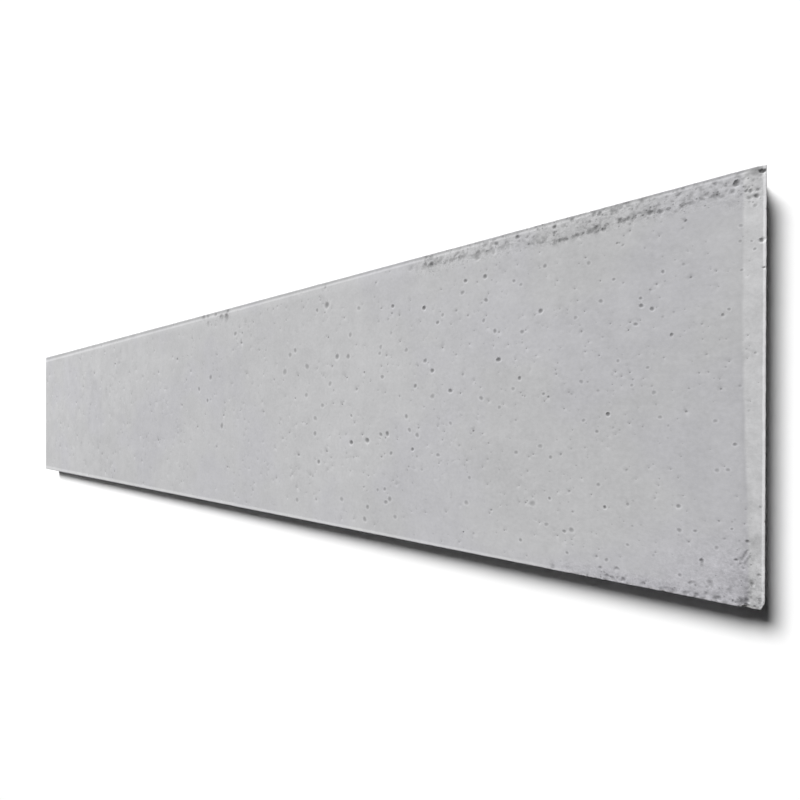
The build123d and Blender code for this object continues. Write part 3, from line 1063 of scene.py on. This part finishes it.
    # crumbly concrete is mottled light and dark, and weaker concrete spreads
    # out from the near lower corner, a little darker and bluer
    dx = g.math("SUBTRACT", x, 0.995)
    dy = g.math("MULTIPLY", g.math("ADD", y, 0.2), 1.2)
    reach = g.math("SQRT", g.math("ADD", g.math("MULTIPLY", dx, dx), g.math("MULTIPLY", dy, dy)))
    weak = g.ramp(g.math("ADD", reach, wave(obj, 30.0, 2.0, 0.5, 0.03, (1, 8, 5))), 0.125, 0.015)
    along = g.math("MULTIPLY", g.ramp(x, 0.70, 0.95), g.ramp(g.math("ADD", y, wave(obj, 60.0, 2.0, 0.5, 0.01)), -0.176, -0.197))
    weak = g.math("MAXIMUM", weak, along)
    tone = g.math("MULTIPLY_ADD", g.math("MULTIPLY", weak, g.math("SUBTRACT", 1.0, near)), -0.042, tone)
    pitted = g.math("MAXIMUM", crumbly, g.math("MULTIPLY", weak, 0.36))
    crumbly = g.math("MAXIMUM", crumbly, g.math("MAXIMUM", g.math("MULTIPLY", weak, 0.70), g.math("MULTIPLY", near_low, 0.72)))
    mottle = g.math("ADD", wave(obj, 400.0, 3.0, 0.75, 1.20, (3, 5, 7)), wave(obj, 120.0, 2.0, 0.5, 0.60, (8, 1, 2)))
    tone = g.math("MULTIPLY_ADD", crumbly, mottle, tone)
    gone = 0.0
    for scale, shift, deep in ((310.0, (4, 1, 6), 0.34), (175.0, (9, 5, 2), 0.26)):
        dist, cell = g.voronoi(g.scaled(obj, 1, 1, 1, shift), scale)
        pick = node(g.t, "ShaderNodeSeparateColor")
        g.put(cell, pick.inputs[0])
        room = g.math("MULTIPLY", g.math("MULTIPLY", pitted, 0.62), pick.outputs[0])
        pore = g.math("MULTIPLY", g.math("SUBTRACT", room, dist), 6.0, clamp=True)
        gone = g.math("MULTIPLY_ADD", pore, deep, gone)
    tone = g.math("SUBTRACT", tone, gone)

    # the sides are a shade darker than the face, with faint upright runs, and
    # the struck-off back is darker still, with drag marks along the panel
    bare = g.math("SUBTRACT", 1.0, skin)
    back = g.ramp(z, 0.0022, 0.0008)
    side = g.math("SUBTRACT", bare, back)
    runs = g.math("ADD", g.noise(g.scaled(obj, 70.0, 70.0, 6.0, (2, 8, 5)), 1.0, 3.0, 0.6), -0.5)
    tone = g.math("MULTIPLY_ADD", side, g.math("MULTIPLY_ADD", runs, 0.22, -0.045), tone)
    warped = node(g.t, "ShaderNodeVectorMath", operation="ADD")
    g.put(obj, warped.inputs[0])
    bend = node(g.t, "ShaderNodeCombineXYZ")
    g.put(wave(obj, 2.6, 2.0, 0.5, 0.05, (6, 6, 1)), bend.inputs[1])
    g.put(bend.outputs[0], warped.inputs[1])
    drag = g.math("ADD", g.noise(g.scaled(warped.outputs[0], 5.0, 210.0, 1.0, (1, 7, 3)), 1.0, 4.0, 0.65), -0.5)
    tone = g.math("MULTIPLY_ADD", back, g.math("MULTIPLY_ADD", drag, 0.40, -0.06), tone)

    # hue: neutral, very slightly cooler in patches
    cool = g.ramp(g.noise(g.scaled(obj, 1, 1, 1, (5, 5, 5)), 7.0, 3.0, 0.5), 0.45, 0.62)
    cool = g.math("MULTIPLY", cool, g.math("SUBTRACT", 1.0, ends))
    colour = g.mix(cool, (0.447, 0.447, 0.453, 1), (0.441, 0.440, 0.455, 1))
    colour = g.mix(g.math("MULTIPLY", weak, g.math("SUBTRACT", 1.0, near)), colour, (0.446, 0.440, 0.467, 1))

    # sparse dark specks, smaller than the modelled holes
    dist, cell = g.voronoi(obj, 95.0)
    pick = node(g.t, "ShaderNodeSeparateColor")
    g.put(cell, pick.inputs[0])
    size = g.math("MULTIPLY_ADD", bare, 0.035, g.ramp(pick.outputs[0], 0.35, 1.0, 0.0, 0.15))
    speck = g.math("MULTIPLY", g.math("SUBTRACT", size, dist), 10.0, clamp=True)
    speck = g.math("MULTIPLY", speck, g.ramp(pick.outputs[1], 0.0, 1.0, 0.3, 1.0))
    tone = g.math("MULTIPLY_ADD", speck, -0.26, tone)

    # hollows hold dust and shade, fresh breaks are paler and coarser
    # painted highlight: where hollow is below 0 the tone is raised, in the rings round hole mouths, on the lit sides of
    # the pockets and along the broken lip, and on the pale scuffed crumbs
    tone = g.math("MULTIPLY_ADD", g.math("MAXIMUM", g.math("MULTIPLY", hollow, -1.0), 0.0), 0.13, tone)
    tone = g.math("MULTIPLY", tone, g.math("MULTIPLY_ADD", g.math("MULTIPLY", hollow, 1.0, clamp=True), -0.78, 1.0))
    colour = g.shade(colour, tone)
    sand = g.noise(obj, 420.0, 3.0, 0.7)
    fresh = g.mix(g.ramp(sand, 0.35, 0.65), (0.34, 0.335, 0.33, 1), (0.56, 0.555, 0.55, 1))
    lip = g.math("MULTIPLY", hollow, -0.5, clamp=True)
    colour = g.mix(g.math("MULTIPLY", broken, g.math("MULTIPLY_ADD", lip, -0.75, 0.75)), colour, fresh)
    g.put(colour, g.bsdf.inputs["Base Color"])

    rough = g.ramp(g.noise(g.scaled(obj, 1, 1, 1, (1, 4, 8)), 26.0, 3.0), 0.3, 0.7, 0.66, 0.84)
    rough = g.math("MULTIPLY_ADD", broken, 0.1, rough, clamp=True)
    g.put(rough, g.bsdf.inputs["Roughness"])
    g.bsdf.inputs["Specular IOR Level"].default_value = 0.32

    height = g.math("MULTIPLY", fine, 0.45)
    height = g.math("MULTIPLY_ADD", grain, 0.28, height)
    height = g.math("MULTIPLY_ADD", speck, -0.8, height)
    height = g.math("MULTIPLY_ADD", gone, -3.0, height)
    height = g.math("MULTIPLY_ADD", g.math("MULTIPLY", sand, g.math("MAXIMUM", broken, g.math("MULTIPLY", crumbly, 0.6))), 1.6, height)
    height = g.math("MULTIPLY_ADD", g.math("MULTIPLY", crumbly, mottle), 1.1, height)
    height = g.math("MULTIPLY_ADD", g.math("MULTIPLY", drag, back), 3.2, height)
    height = g.math("MULTIPLY_ADD", g.math("MULTIPLY", runs, side), 0.9, height)
    bump = node(g.t, "ShaderNodeBump")
    bump.inputs["Strength"].default_value = 0.55
    bump.inputs["Distance"].default_value = 0.00035
    g.put(height, bump.inputs["Height"])
    g.put(bump.outputs[0], g.bsdf.inputs["Normal"])
    return g.mat


mesh.materials.append(concrete())
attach(panel, "root")
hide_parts("fence_panel")


# ------------------------------------------------------ floor and light
def floor_material():
    g = Graph("studio_floor")
    obj = node(g.t, "ShaderNodeTexCoord").outputs["Object"]
    t = g.math("MULTIPLY_ADD", g.noise(obj, 1.5, 2.0), 0.02, 0.99)
    g.put(g.shade((0.93, 0.93, 0.93), t), g.bsdf.inputs["Base Color"])
    g.bsdf.inputs["Roughness"].default_value = 0.9
    g.bsdf.inputs["Specular IOR Level"].default_value = 0.1
    return g.mat


floor_mesh = bpy.data.meshes.new("studio_floor")
E = 15.0
floor_mesh.from_pydata([(-E, -E, 0), (E, -E, 0), (E, E, 0), (-E, E, 0)], [], [(0, 1, 2, 3)])
floor_mesh.materials.append(floor_material())
floor = bpy.data.objects.new("studio_floor", floor_mesh)
scene.collection.objects.link(floor)

# a plain white backdrop all round, seen past the floor, which adds no light
shell = bmesh.new()
bmesh.ops.create_uvsphere(shell, u_segments=64, v_segments=32, radius=14.5)
shell_mesh = bpy.data.meshes.new("studio_backdrop")
shell.to_mesh(shell_mesh)
shell.free()
shell_mat = bpy.data.materials.new("studio_backdrop")
shell_mat.use_nodes = True
shell_mat.node_tree.nodes.clear()
shell_mat.cycles.emission_sampling = "NONE"
glow = node(shell_mat.node_tree, "ShaderNodeEmission")
glow.inputs["Color"].default_value = (0.97, 0.975, 0.98, 1)
shell_mat.node_tree.links.new(glow.outputs[0], node(shell_mat.node_tree, "ShaderNodeOutputMaterial").inputs[0])
shell_mesh.materials.append(shell_mat)
backdrop = bpy.data.objects.new("studio_backdrop", shell_mesh)
scene.collection.objects.link(backdrop)
backdrop.visible_diffuse = False
backdrop.visible_glossy = False
backdrop.visible_transmission = False
backdrop.visible_shadow = False

world = bpy.data.worlds.new("studio")
world.use_nodes = True
world.node_tree.nodes["Background"].inputs["Color"].default_value = (0.98, 0.99, 1.0, 1)
world.node_tree.nodes["Background"].inputs["Strength"].default_value = 0.012
scene.world = world


def sun(name, towards, strength, angle):
    data = bpy.data.lights.new(name, "SUN")
    data.energy = strength
    data.angle = math.radians(angle)
    ob = bpy.data.objects.new(name, data)
    scene.collection.objects.link(ob)
    ob.rotation_mode = "QUATERNION"
    ob.rotation_quaternion = Vector(towards).to_track_quat("-Z", "Y")
    return ob


sun("key", (13.8, -33.2, -39), 4.52, 22)

# a soft light over the far end, so the panel is brightest there
soft_data = bpy.data.lights.new("soft", "AREA")
soft_data.shape = "SQUARE"
soft_data.size = 1.4
soft_data.energy = 9.2
soft = bpy.data.objects.new("soft", soft_data)
scene.collection.objects.link(soft)
soft.location = (-1.7, 0.7, 1.6)
soft.rotation_mode = "QUATERNION"
soft.rotation_quaternion = (Vector((-0.6, 0.0, 0.0)) - soft.location).to_track_quat("-Z", "Y")
soft.visible_camera = False

scene.view_settings.view_transform = "Standard"
scene.view_settings.look = "None"
scene.view_settings.exposure = 0.0
scene.view_settings.gamma = 1.0
